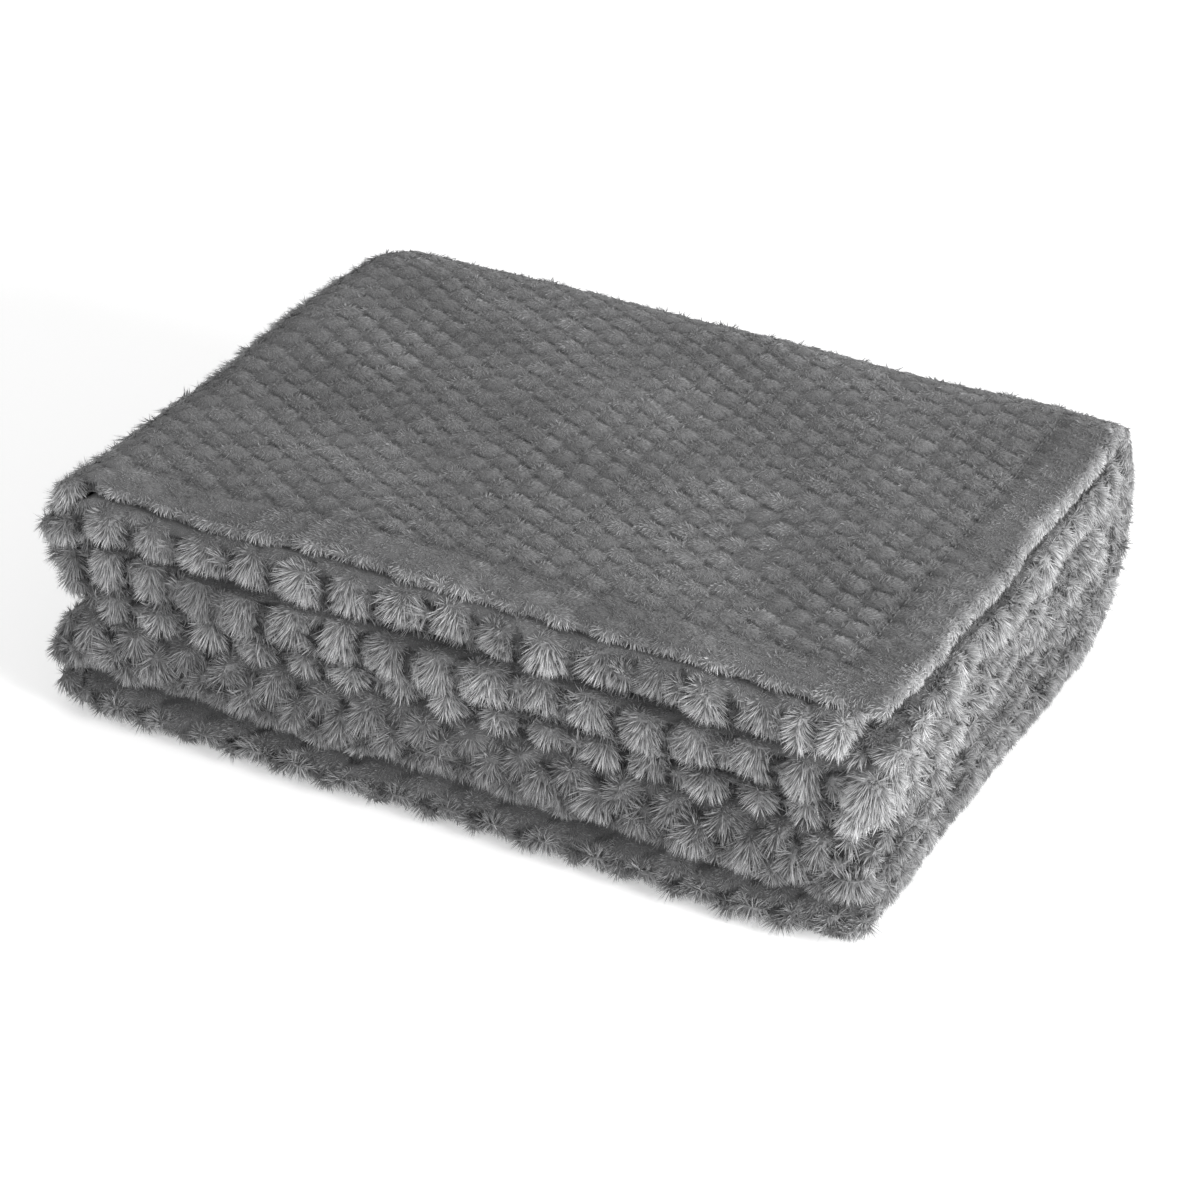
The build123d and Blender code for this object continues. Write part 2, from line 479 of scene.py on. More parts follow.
# %% [markdown]
# ## What shows
# Most of the cloth lies hidden between its neighbours. A few rays from every point of it tell how
# open the place is: 1 in the open, 0 where another layer lies close. Bumps rise, and pile grows,
# only where the cloth is open, so nothing is spent on what no one can see.

# %% Openness of every point
RAY_REACH = 0.014
RAY_START = 0.0006
TOUCHING = 0.004
RAY_TILTS = ((0.0, 0.0), (0.9, 0.0), (-0.9, 0.0), (0.0, 0.9), (0.0, -0.9))


def normals(mesh):
    flat = np.empty(len(mesh.vertices) * 3)
    mesh.vertices.foreach_get("normal", flat)
    return flat.reshape(-1, 3)


def bundle_tree(pieces):
    """One search tree for the faces of all the sheets."""
    corners, faces, base = [], [], 0
    for piece in pieces:
        corners.extend(points(piece.data).tolist())
        for face in piece.data.polygons:
            faces.append([base + index for index in face.vertices])
        base += len(piece.data.vertices)
    return BVHTree.FromPolygons(corners, faces)


def openness(mesh, tree):
    """Share of the rays from each point that meet nothing within reach."""
    places, directions = points(mesh), normals(mesh)
    result = np.zeros(len(places))
    for number, (place, direction) in enumerate(zip(places.tolist(), directions.tolist())):
        n = Vector(direction)
        start = Vector(place) + n * RAY_START
        if tree.ray_cast(start, n, TOUCHING)[0] is not None:
            continue
        side = n.orthogonal().normalized()
        other = n.cross(side)
        free = 0
        for across, along in RAY_TILTS:
            ray = (n + side * across + other * along).normalized()
            free += tree.ray_cast(start, ray, RAY_REACH)[0] is None
        result[number] = free / len(RAY_TILTS)
    return result


tree = bundle_tree(sheets)
for sheet in sheets:
    keep(sheet.data, "open", openness(sheet.data, tree))
    print(sheet.name, f"{(numbers(sheet.data, 'open') > 0.3).mean() * 100:.0f}% of its points show")

# %% [markdown]
# ## Raising the bumps
# Where the cloth is open, each bump swells into a low dome. On the top it is flattened by the
# stacking, on the sides and round the bends it stands out. The band beside a hem is left smooth,
# with a shallow groove where the thread pulls it down.

# %% Domes and the hem's groove
BUMP_RADIUS = 0.0074
SIDE_BUMP = 0.0050
TOP_BUMP = 0.0015
BUMPS_RISE = (0.15, 0.75)
DOME_FLOOR = -0.2
DOME_SINK = 0.35
LEVEL_CLOTH = (0.55, 0.9)
HEM_BAND = 0.0250
BAND_INSIDE = 0.004
BAND_OUTSIDE = 0.003
BAND_BUMP = 0.25
HEM_GROOVE = 0.0014
GROOVE_WIDTH = 0.0022


def nearest_bump(cloth):
    """Distance to the middle of the nearest bump."""
    found = []
    for shift in (0.0, 0.5):
        u, v = cloth[:, 0] / BUMP_ACROSS + shift, cloth[:, 1] / BUMP_ALONG + shift
        dx = (u - np.round(u)) * BUMP_ACROSS
        dy = (v - np.round(v)) * BUMP_ALONG
        found.append(np.hypot(dx, dy))
    return np.minimum(*found)


def raise_bumps(piece):
    """Moves the cloth out at each bump and in at the hem's groove."""
    mesh = piece.data
    place, out = points(mesh), normals(mesh)
    shown = ease(numbers(mesh, "open"), *BUMPS_RISE)
    far = nearest_bump(numbers(mesh, "cloth"))
    dome = np.clip(1 - (far / BUMP_RADIUS) ** 2, DOME_FLOOR, 1.0) - DOME_SINK
    flat_top = ease(out[:, 2], *LEVEL_CLOTH)
    height = SIDE_BUMP + (TOP_BUMP - SIDE_BUMP) * flat_top
    gap = numbers(mesh, "hem_gap")
    band = ease(gap, HEM_BAND - BAND_INSIDE, HEM_BAND + BAND_OUTSIDE)
    crease = np.exp(-(((gap - HEM_BAND) / GROOVE_WIDTH) ** 2))
    rise = dome * height * (BAND_BUMP + (1 - BAND_BUMP) * band) - HEM_GROOVE * crease
    rise = shown * rise
    mesh.vertices.foreach_set("co", (place + out * rise[:, None]).ravel())
    mesh.update()
    keep(mesh, "band", band)
    keep(mesh, "crease", crease)


for sheet in sheets:
    raise_bumps(sheet)
print("bumps raised on", len(sheets), "stretches")

# %% [markdown]
# ## A short way to write node trees
# The pile and the finishes are both node trees. One small class wraps a socket, so that sums are
# written as sums and the Math nodes add themselves. Any other node comes from one method.

# %% Node trees as expressions
class Wire:
    """A socket of a node tree that can be added, multiplied and so on."""

    def __init__(self, tree, socket):
        self.tree = tree
        self.socket = socket

    def math(self, operation, *others):
        return node(self.tree, "ShaderNodeMath", {"operation": operation}, [self, *others])

    def __add__(self, other):
        return self.math("ADD", other)

    def __sub__(self, other):
        return self.math("SUBTRACT", other)

    def __mul__(self, other):
        return self.math("MULTIPLY", other)

    def __truediv__(self, other):
        return self.math("DIVIDE", other)

    def __rsub__(self, other):
        return node(self.tree, "ShaderNodeMath", {"operation": "SUBTRACT"}, [other, self])

    __radd__ = __add__
    __rmul__ = __mul__


def node(tree, kind, settings=None, values=(), out=0):
    """Adds a node, sets it, and feeds its sockets by number or by name; returns one output."""
    made = tree.nodes.new(kind)
    for name, setting in (settings or {}).items():
        setattr(made, name, setting)
    pairs = values.items() if isinstance(values, dict) else enumerate(values)
    for key, value in pairs:
        if isinstance(value, Wire):
            tree.links.new(value.socket, made.inputs[key])
        else:
            made.inputs[key].default_value = value
    return Wire(tree, made.outputs[out])


def vector_math(operation, first, *others):
    return node(first.tree, "ShaderNodeVectorMath", {"operation": operation}, [first, *others])


def scaled(vector, factor):
    return node(vector.tree, "ShaderNodeVectorMath", {"operation": "SCALE"}, {0: vector, "Scale": factor})


print("node helpers ready")

# %% [markdown]
# ## The pile
# Every tuft of the fleece is a bundle of fine fibres that fan out from the middle of its bump. The
# fibres are modelled as slim closed locks, each with three corners at its root and a tip that leans.
# A geometry node tree scatters points over the cloth, as many as the place's own density asks for,
# stands a lock on each and turns it the way the fibres fall there.

# %% One lock of fibres
LOCK_BEND = 5.0


def lock_mesh(name, bend):
    """A closed sliver one unit tall: a three-sided cone whose tip leans over to one side."""
    bm = bmesh.new()
    bmesh.ops.create_cone(bm, cap_ends=True, segments=3, radius1=1.0, radius2=0.0, depth=1.0)
    bmesh.ops.translate(bm, verts=bm.verts[:], vec=(0, 0, 0.5))
    tip = [v for v in bm.verts if v.co.z > 0.9]
    bmesh.ops.translate(bm, verts=tip, vec=(bend, 0, 0))
    bmesh.ops.recalc_face_normals(bm, faces=bm.faces[:])
    mesh = finished(name, bm)
    keep(mesh, "tip", points(mesh)[:, 2])
    return bpy.data.objects.new(name, mesh)


lock = lock_mesh("lock", LOCK_BEND)
LOCK_FACES = len(lock.data.polygons)
print("faces in a lock:", LOCK_FACES)

# %% [markdown]
# ### Where the pile grows and how it falls
# On the top the pile has been brushed flat by the stacking, so its fibres are short and lean. On
# the sides they stand out, fan from the middle of each bump and droop a little.

# %% Length, lean and fan of the pile, kept on the cloth
SIDE_PILE = 0.0068
TOP_PILE = 0.0019
HEM_PILE = 0.45
COVERED_PILE = 0.55
SIDE_STAND = 1.0
TOP_STAND = 0.55
SIDE_FAN = 0.80
TOP_FAN = 0.62
HEM_FAN = 0.30
TOP_FLATNESS = 0.55
TOP_LEAN = 0.55
DROOP = 0.62
NAP_TURN = 1.3
NAP_ANGLE = 0.9
LEVEL_PILE = (0.60, 0.92)


def comb(piece):
    """Keeps on the cloth how long the pile is, how much it stands, fans and leans."""
    mesh = piece.data
    place, out = points(mesh), normals(mesh)
    shown = numbers(mesh, "open")
    flat_top = ease(np.abs(out[:, 2]), *LEVEL_PILE)
    band = numbers(mesh, "band")
    length = SIDE_PILE + (TOP_PILE - SIDE_PILE) * flat_top
    hem = HEM_PILE + (1 - HEM_PILE) * np.maximum(band, flat_top)
    free = COVERED_PILE + (1 - COVERED_PILE) * ease(shown, 0.1, 0.9)
    fan = SIDE_FAN + (TOP_FAN - SIDE_FAN) * flat_top
    keep(mesh, "pile_length", length * hem * free)
    # relief also sets the painted shade of the rims and of the top, and low marks the lower half's sides,
    # which get painted shade.
    keep(mesh, "relief", 1 - TOP_FLATNESS * flat_top)
    keep(mesh, "low", (1 - numbers(mesh, "turned")) * (1 - flat_top))
    keep(mesh, "stand", SIDE_STAND + (TOP_STAND - SIDE_STAND) * flat_top)
    keep(mesh, "fan", fan * (HEM_FAN + (1 - HEM_FAN) * band))
    nap = waves(place[:, 0], place[:, 1], 0.12, 41) * NAP_TURN - NAP_ANGLE
    lean = np.stack([np.cos(nap), np.sin(nap), np.zeros(len(place))], axis=1)
    droop = np.array([0.0, 0.0, -DROOP])
    keep(mesh, "lean", lean * (TOP_LEAN * flat_top)[:, None] + droop * (1 - flat_top)[:, None])


for sheet in sheets:
    comb(sheet)
print("pile combed on", len(sheets), "stretches")

# %% [markdown]
# ### The tree that plants the locks
# A point works out for itself which bump is nearest, from the place in the cloth that the sheet
# carries, and fans its lock away from that bump's middle. A little chance in direction, length and
# thickness keeps the pile from looking combed. The seeds are fixed, so it grows almost the same each run.

# %% Geometry node tree for the pile
COLUMN_STEP = 7.0
ROW_STEP = 131.0
SET_STEP = 3.0
CRACK_FAINT = 0.25
CLUMPS_PER_METRE = 330.0
CLUMP_SWAY = 1.1
EDGE_CUT = 0.16
CRACK_CUT = 0.78
CRACK_NEAR = (0.0048, 0.0066)
CRACK_WIDE = (0.0030, 0.0056)
CRACK_SLANT = 0.45
TUFT_SWAY = 0.85
TUFT_LENGTH = (0.78, 1.16)
LOCK_LENGTH = (0.74, 1.06)
LOCK_WIDTH = (0.75, 1.25)
LOCK_SCATTER = 0.16
LOCK_TWIST = 0.8
CURL_DOWN = -0.5
FULL_HEIGHT = 1.08
MIDDLE = (0.5, 0.5, 0.5)


def named(tree, name, vector=False):
    kind = "FLOAT_VECTOR" if vector else "FLOAT"
    return node(tree, "GeometryNodeInputNamedAttribute", {"data_type": kind}, {"Name": name})


def chance(tree, low, high, seed):
    """A random number between two values for each point."""
    values = {2: low, 3: high, "Seed": seed}
    return node(tree, "FunctionNodeRandomValue", {"data_type": "FLOAT"}, values, 1)


def chance_vector(tree, size, seed):
    """A random offset for each point, up to that size each way."""
    values = {0: (-size,) * 3, 1: (size,) * 3, "Seed": seed}
    return node(tree, "FunctionNodeRandomValue", {"data_type": "FLOAT_VECTOR"}, values, 0)


def turned_to(axis, settings, **values):
    """A rotation that turns that axis of a lock to a vector."""
    tree = values["Vector"].tree
    settings = {"axis": axis, **settings}
    return node(tree, "FunctionNodeAlignRotationToVector", settings, values)


def ramp(value, start, end):
    """0 before start and 1 after end, in a straight line."""
    return ((value - start) / (end - start)).math("MINIMUM", 1.0).math("MAXIMUM", 0.0)


def bump_map(tree, cloth):
    """Where a place lies on its bump: offsets from the middle, how near the rim, how deep in the
    crack beside it, the tuft's own chance between 0 and 1, and its number."""
    split = tree.nodes.new("ShaderNodeSeparateXYZ")
    tree.links.new(cloth.socket, split.inputs[0])
    u = Wire(tree, split.outputs[0]) / BUMP_ACROSS
    v = Wire(tree, split.outputs[1]) / BUMP_ALONG
    found = []
    for shift in (0.0, 0.5):
        a, b = u + shift, v + shift
        dx = (a - a.math("ROUND")) * BUMP_ACROSS
        dy = (b - b.math("ROUND")) * BUMP_ALONG
        number = a.math("ROUND") * COLUMN_STEP + b.math("ROUND") * ROW_STEP + SET_STEP * shift
        found.append((dx, dy, (dx * dx + dy * dy).math("SQRT"), number))
    near = found[0][2].math("LESS_THAN", found[1][2])
    far = 1 - near
    dx, dy, distance, number = [found[0][i] * near + found[1][i] * far for i in range(4)]
    rim = (distance / BUMP_RADIUS).math("MINIMUM", 1.0)
    tuft = node(tree, "ShaderNodeTexWhiteNoise", {"noise_dimensions": "1D"}, {"W": number})
    slanted = (dy + dx * CRACK_SLANT).math("ABSOLUTE")
    crack = ramp(slanted, *CRACK_NEAR) * (1 - ramp(dx.math("ABSOLUTE"), *CRACK_WIDE))
    return dx, dy, rim, crack * (CRACK_FAINT + (1 - CRACK_FAINT) * tuft), tuft, number


def pile_tree(name, width, seed):
    """Node tree that turns a sheet into the pile that stands on it."""
    tree = bpy.data.node_groups.new(name, "GeometryNodeTree")
    tree.interface.new_socket("Cloth", in_out="INPUT", socket_type="NodeSocketGeometry")
    tree.interface.new_socket("Pile", in_out="OUTPUT", socket_type="NodeSocketGeometry")
    cloth = Wire(tree, tree.nodes.new("NodeGroupInput").outputs[0])
    spread = tree.nodes.new("GeometryNodeDistributePointsOnFaces")
    tree.links.new(cloth.socket, spread.inputs["Mesh"])
    tree.links.new(named(tree, "density").socket, spread.inputs["Density"])
    spread.inputs["Seed"].default_value = seed
    out = Wire(tree, spread.outputs["Normal"])
    sown = Wire(tree, spread.outputs["Points"])

    def store(geometry, value, label, kind="FLOAT", domain="POINT"):
        settings = {"data_type": kind, "domain": domain}
        values = {"Geometry": geometry, "Name": label, "Value": value}
        return node(tree, "GeometryNodeStoreNamedAttribute", settings, values)

    dx, dy, rim, crack, tuft, number = bump_map(tree, named(tree, "cloth", True))
    sway = node(tree, "ShaderNodeTexWhiteNoise", {"noise_dimensions": "1D"}, {"W": number + 0.5}, 1)
    sway = scaled(vector_math("SUBTRACT", sway, MIDDLE), named(tree, "relief") * TUFT_SWAY)
    away = vector_math("ADD", scaled(named(tree, "tangent_x", True), dx / BUMP_RADIUS),
                       scaled(named(tree, "tangent_y", True), dy / BUMP_RADIUS))
    drift = node(tree, "ShaderNodeTexNoise", {}, {"Scale": CLUMPS_PER_METRE, "Detail": 1.0}, 1)
    drift = scaled(vector_math("SUBTRACT", drift, MIDDLE), CLUMP_SWAY)
    aim = vector_math("ADD", scaled(out, named(tree, "stand")), scaled(away, named(tree, "fan")))
    aim = vector_math("ADD", aim, named(tree, "lean", True))
    aim = vector_math("ADD", vector_math("ADD", aim, drift), sway)
    aim = vector_math("ADD", aim, chance_vector(tree, LOCK_SCATTER, seed + 1))
    curl = vector_math("ADD", scaled(out, CURL_DOWN), named(tree, "lean", True))
    curl = vector_math("ADD", curl, away)
    sown = store(sown, aim, "aim", "FLOAT_VECTOR")
    sown = store(sown, curl, "curl", "FLOAT_VECTOR")
    sown = store(sown, rim, "rim")
    sown = store(sown, tuft, "tuft")
    sown = store(sown, crack * named(tree, "band"), "crack")
    raised = turned_to("Z", {}, Vector=named(tree, "aim", True))
    curled = turned_to("X", {"pivot_axis": "Z"}, Rotation=raised, Vector=named(tree, "curl", True))
    twist = chance(tree, -LOCK_TWIST, LOCK_TWIST, seed + 2)
    spin = node(tree, "ShaderNodeCombineXYZ", {}, [0.0, 0.0, twist])
    spin = node(tree, "FunctionNodeEulerToRotation", {}, [spin])
    turned = node(tree, "FunctionNodeRotateRotation", {"rotation_space": "LOCAL"}, [curled, spin])
    rim = named(tree, "rim")
    cut = FULL_HEIGHT - rim * rim * EDGE_CUT - named(tree, "crack") * CRACK_CUT
    short, long = TUFT_LENGTH
    tall = named(tree, "pile_length") * (short + named(tree, "tuft") * (long - short))
    tall = tall * chance(tree, *LOCK_LENGTH, seed + 3) * cut
    thick = chance(tree, *LOCK_WIDTH, seed + 4) * width
    size = node(tree, "ShaderNodeCombineXYZ", {}, [thick, thick, tall])
    model = node(tree, "GeometryNodeObjectInfo", {}, {"Object": lock}, 4)
    values = {"Points": sown, "Instance": model, "Rotation": turned, "Scale": size}
    planted = node(tree, "GeometryNodeInstanceOnPoints", {}, values)
    planted = store(planted, chance(tree, 0.0, 1.0, seed + 5), "tone", domain="INSTANCE")
    real = node(tree, "GeometryNodeRealizeInstances", {}, [planted])
    end = tree.nodes.new("NodeGroupOutput")
    tree.links.new(real.socket, end.inputs[0])
    return tree


print("clumps of locks are about", round(1000 / CLUMPS_PER_METRE, 1), "mm across")

# %% [markdown]
# ### A picture cell for each lock
# Each piece of pile gets a map by which its finish can be baked into one picture. A piece of pile
# has tens of thousands of locks, so each one is given its own small cell of that picture, with its
# root at the cell's foot and its tip at the head. All locks are alike, so their order tells the cell.

# %% Lay the locks out in cells
CELL_MARGIN = 0.12


def lay_out(mesh):
    """Gives the pile a map with one cell for each lock."""
    corner_points = np.empty(len(mesh.loops), dtype=np.int32)
    mesh.loops.foreach_get("vertex_index", corner_points)
    locks = len(mesh.polygons) // LOCK_FACES
    side = math.ceil(math.sqrt(locks))
    number = np.repeat(np.arange(locks), LOCK_FACES * 3)
    cell = np.stack([number % side, number // side], axis=1)
    height = numbers(mesh, "tip")[corner_points]
    across = np.tile(np.tile([0.0, 1.0, 0.5], LOCK_FACES), locks)
    inside = CELL_MARGIN + (1 - 2 * CELL_MARGIN) * np.stack([across, height], axis=1)
    mesh.uv_layers.new(name="OFBake").data.foreach_set("uv", ((cell + inside) / side).ravel())
    return locks


# %% [markdown]
# ### Areas of pile
# The pile is cut into areas, so that no piece grows too heavy: the top, the two halves of the open
# front, the two ends, the spine and the underside, and the two faces that meet inside the last fold
# and show when it is opened. Each area has its own thickness of growth, in locks per square metre.

# %% Areas and their growth
UP, OPEN_FRONT, LEFT_SIDE, RIGHT_SIDE, SPINE, FLOOR_SIDE, MEETING, HIDDEN = range(8)
FACING_END = 0.45
FACING_FRONT = 0.40
FACING_UP = 0.2
FACING_INSIDE = 0.6
TOP_HEIGHT = cad_hi.z - 0.016
FLOOR_HEIGHT = 0.012
SPINE_GAP = 0.002
RIGHT_DEPTH = 0.030
FRONT_DEPTH = 0.035
LEFTOVER_DEPTH = 0.050
GROWS_FROM = (0.05, 0.35)


def area_of(place, out):
    """Which area of the bundle each point of the outermost cloth belongs to."""
    x, y, z = place.T
    area = np.full(len(place), HIDDEN)
    area[y > SPINE_Y + SPINE_GAP] = SPINE
    area[(out[:, 0] < -FACING_END) & (x < LEFT + 4.2 * PITCH)] = LEFT_SIDE
    area[(out[:, 0] > FACING_END) & (x > RIGHT - RIGHT_DEPTH)] = RIGHT_SIDE
    rest = area == HIDDEN
    area[rest & (out[:, 1] < -FACING_FRONT) & (y < FRONT + FRONT_DEPTH)] = OPEN_FRONT
    rest = area == HIDDEN
    area[rest & (out[:, 2] > FACING_UP) & (z > TOP_HEIGHT)] = UP
    area[rest & (out[:, 2] < -FACING_UP) & (z < FLOOR_HEIGHT)] = FLOOR_SIDE
    for chosen, near in (
        (OPEN_FRONT, y < FRONT + LEFTOVER_DEPTH),
        (RIGHT_SIDE, x > RIGHT - LEFTOVER_DEPTH),
        (LEFT_SIDE, x < LEFT + LEFTOVER_DEPTH),
    ):
        area[near & (area == HIDDEN)] = chosen
    return area


def growth(mesh, chosen, low, high, axis):
    """How thickly the pile of an area grows at each point between two places on one axis."""
    place, out = points(mesh), normals(mesh)
    inside = (place[:, axis] >= low) & (place[:, axis] < high)
    if chosen == MEETING:
        middle = np.abs(place[:, 2] - MID_Z) < PITCH / 2
        return inside * middle * (np.abs(out[:, 2]) > FACING_INSIDE) * (place[:, 1] < SPINE_Y)
    return inside * (area_of(place, out) == chosen) * ease(numbers(mesh, "open"), *GROWS_FROM)


def plant(name, chosen, per_area, width, seed, low=-1.0, high=1.0, axis=0):
    """Grows the pile of one area on every sheet that has some, and joins it into one piece."""
    bm = bmesh.new()
    for number, sheet in enumerate(sheets):
        share = growth(sheet.data, chosen, low, high, axis) * per_area
        if share.max() <= 0:
            continue
        source = stand(name, sheet.data.copy())
        keep(source.data, "density", share)
        tree = pile_tree(name, width, seed + 10 * number)
        source.modifiers.new("pile", "NODES").node_group = tree
        graph = bpy.context.evaluated_depsgraph_get()
        bm.from_mesh(bpy.data.meshes.new_from_object(source.evaluated_get(graph), depsgraph=graph))
        bpy.data.objects.remove(source)
        bpy.data.node_groups.remove(tree)
    grown = finished(name, bm)
    print(f"{name}: {lay_out(grown)} locks")
    return stand(name, grown)


LOCKS = 1.0e6 * 1.0
third = WIDTH / 3
pile = [
    plant("top_pile_left", UP, 1.06 * LOCKS, 0.00020, 100, high=LEFT + third),
    plant("top_pile_middle", UP, 1.06 * LOCKS, 0.00020, 200, LEFT + third, LEFT + 2 * third),
    plant("top_pile_right", UP, 1.06 * LOCKS, 0.00020, 300, LEFT + 2 * third),
    plant("front_pile_upper", OPEN_FRONT, 1.10 * LOCKS, 0.00026, 400, MID_Z, axis=2),
    plant("front_pile_lower", OPEN_FRONT, 1.00 * LOCKS, 0.00026, 500, high=MID_Z, axis=2),
    plant("left_pile", LEFT_SIDE, 0.86 * LOCKS, 0.00029, 600),
    plant("right_pile_upper", RIGHT_SIDE, 1.10 * LOCKS, 0.00026, 700, MID_Z, axis=2),
    plant("right_pile_lower", RIGHT_SIDE, 1.10 * LOCKS, 0.00026, 750, high=MID_Z, axis=2),
    plant("spine_pile", SPINE, 0.52 * LOCKS, 0.00034, 800),
    plant("underside_pile", FLOOR_SIDE, 0.08 * LOCKS, 0.00050, 900),
    plant("inner_pile", MEETING, 0.17 * LOCKS, 0.00080, 950),
]

# %% [markdown]
# ## The hem's thread
# The hem of the uppermost leaf is turned under and sewn down a finger's width from the edge. Each
# stitch is a little closed bead, drawn out along the seam and half sunk in the cloth, so the row
# follows every rise and dip. The place of each one is found by dropping a ray onto the cloth.

# %% Rows of stitches
STITCH_LENGTH = 0.0030
STITCH_PITCH = 0.0040
STITCH_RADIUS = 0.00045
BEAD_ROUND = 6
BEAD_RINGS = 4
SEAM_START = 0.03


def seam(name, start, end, surface):
    """A row of stitches on the cloth below the line from start to end."""
    bm = bmesh.new()
    line = Vector(end) - Vector(start)
    count = int(line.length / STITCH_PITCH)
    for step in range(count):
        above = Vector(start) + line * (step + 0.5) / count
        spot, normal, _, _ = surface.ray_cast(above, Vector((0, 0, -1)))
        ahead = (line - normal * line.dot(normal)).normalized()
        turn = Matrix((ahead, normal.cross(ahead), normal)).transposed().to_4x4()
        size = Matrix.Diagonal((STITCH_LENGTH / 2, STITCH_RADIUS, STITCH_RADIUS, 1.0))
        bmesh.ops.create_uvsphere(
            bm,
            u_segments=BEAD_ROUND,
            v_segments=BEAD_RINGS,
            radius=1.0,
            matrix=Matrix.Translation(spot) @ turn @ size,
        )
    bmesh.ops.recalc_face_normals(bm, faces=bm.faces[:])
    print(name, count, "stitches")
    return stand(name, finished(name, bm))


above_all = cad_hi.z + 0.05
seam_x = RIGHT - HEM_BAND
seam_y = FRONT + HEM_BAND
surface = bundle_tree([sheets[0]])
stitches = [
    seam("front_stitches", (LEFT + SEAM_START, seam_y, above_all), (seam_x, seam_y, above_all), surface),
    seam("right_stitches", (seam_x, seam_y, above_all), (seam_x, SPINE_Y, above_all), surface),
]

# %% [markdown]
# ## The fleece's finish
# Fleece shows no weave: what the eye sees is how deep it looks into the pile. Shade is painted
# into the cloth at the foot of the fibres and into the pile: darkest in the cracks between the bumps,
# darker near each bump's rim and along the hem's groove, and each lock goes from a pale tip to a root
# darkened by painted shade. The locks' own tones are random, and the slow drift of the nap, brushed
# one way here and another there, is painted in as patches of sheen. The lower half's sides and the
# top, where the fibres lie flat, get painted shade too. Fibres scatter light softly, which the
# shader's sheen stands for.

# %% Fleece
DEEP = (0.020, 0.020, 0.021, 1.0)
PALE = (0.640, 0.642, 0.648, 1.0)
MIDDLE_TONE = 1.08
RIM_SHADE = 0.34
CRACK_SHADE = 1.35
CREASE_SHADE = 0.35
CLOTH_CRACK_SHADE = 0.5
LOW_SHADE = 0.30
TOP_SHADE = 0.31
NAP_PER_METRE = 16.0
NAP_SHEEN = 0.50
TUFT_TONE = 0.83
TUFT_GAIN = 0.34
ROOT_SHADE = 0.26
TIP_GAIN = 0.66
LOCK_TONE = 0.62
LOCK_GAIN = 0.76
CLOTH_TONE = 0.08
GRAIN_GAIN = 0.46
GRAIN_PER_METRE = 1400.0


def shader_attribute(tree, name, vector=False):
    return node(tree, "ShaderNodeAttribute", {"attribute_name": name}, {}, 1 if vector else 2)


def soft_shader(name, roughness, sheen):
    """A new material with the constants of a soft fabric; returns it, its tree and its shader."""
    material = bpy.data.materials.new(name)
    material.use_nodes = True
    shader = material.node_tree.nodes["Principled BSDF"]
    shader.inputs["Roughness"].default_value = roughness
    shader.inputs["Specular IOR Level"].default_value = 0.2
    shader.inputs["Sheen Weight"].default_value = sheen
    shader.inputs["Sheen Roughness"].default_value = 0.5
    return material, material.node_tree, shader


def tone_and_painted_shade(tree, rim, crack, tuft):
    """Tone of a place with painted shade: less near a bump's rim, least in a crack, and less along the
    hem's groove, on the lower half's sides and on the top; times painted nap sheen and the tuft's own
    tone.
    """
    drift = shader_attribute(tree, "cloth", True)
    # Patches of painted sheen: lighter and darker where the nap is brushed one way or another.
    nap = node(tree, "ShaderNodeTexNoise", {}, {"Vector": drift, "Scale": NAP_PER_METRE, "Detail": 3.0})
    relief = shader_attribute(tree, "relief")
    # Painted shade: darker towards each bump's rim and darkest in the cracks between bumps.
    seen = MIDDLE_TONE - rim * rim * relief * RIM_SHADE - crack * CRACK_SHADE
    # Painted shade along the hem's groove.
    seen = seen - shader_attribute(tree, "crease") * CREASE_SHADE
    # Painted shade: the lower half's sides are darker.
    low = 1 - shader_attribute(tree, "low") * LOW_SHADE
    # Painted shade: the top, where the fibres lie flat, is darker.
    flat = TOP_SHADE + relief * (1 - TOP_SHADE)
    return seen * low * (NAP_SHEEN + nap) * (TUFT_TONE + tuft * TUFT_GAIN) * flat


def fleece_color(tree, amount):
    values = {0: amount.math("MINIMUM", 1.0).math("MAXIMUM", 0.0), 6: DEEP, 7: PALE}
    return node(tree, "ShaderNodeMix", {"data_type": "RGBA"}, values, 2)


def pile_finish():
    material, tree, shader = soft_shader("fleece_pile", 0.85, 0.30)
    tip = shader_attribute(tree, "tip")
    tone = shader_attribute(tree, "tone")
    rim, crack, tuft = [shader_attribute(tree, name) for name in ("rim", "crack", "tuft")]
    # Each lock is darker towards its root, painted shade deep in the pile, times its own random tone.
    lock_tone_and_root_shade = (ROOT_SHADE + tip * TIP_GAIN) * (LOCK_TONE + tone * LOCK_GAIN)
    amount = lock_tone_and_root_shade * tone_and_painted_shade(tree, rim, crack, tuft)
    tree.links.new(fleece_color(tree, amount).socket, shader.inputs["Base Color"])
    return material


def cloth_finish():
    material, tree, shader = soft_shader("fleece_cloth", 0.95, 0.20)
    _, _, rim, crack, tuft, _ = bump_map(tree, shader_attribute(tree, "cloth", True))
    place = node(tree, "ShaderNodeTexCoord", {}, {}, 3)
    values = {"Vector": place, "Scale": GRAIN_PER_METRE, "Detail": 2.0}
    grain = node(tree, "ShaderNodeTexNoise", {}, values)
    # The cloth gets the same painted shade, with fainter cracks.
    shade = tone_and_painted_shade(tree, rim, crack * shader_attribute(tree, "band") * CLOTH_CRACK_SHADE, tuft)
    amount = (CLOTH_TONE + grain * GRAIN_GAIN) * shade
    tree.links.new(fleece_color(tree, amount).socket, shader.inputs["Base Color"])
    raised = node(tree, "ShaderNodeBump", {}, {"Strength": 0.6, "Distance": 0.0006, "Height": grain})
    tree.links.new(raised.socket, shader.inputs["Normal"])
    return material


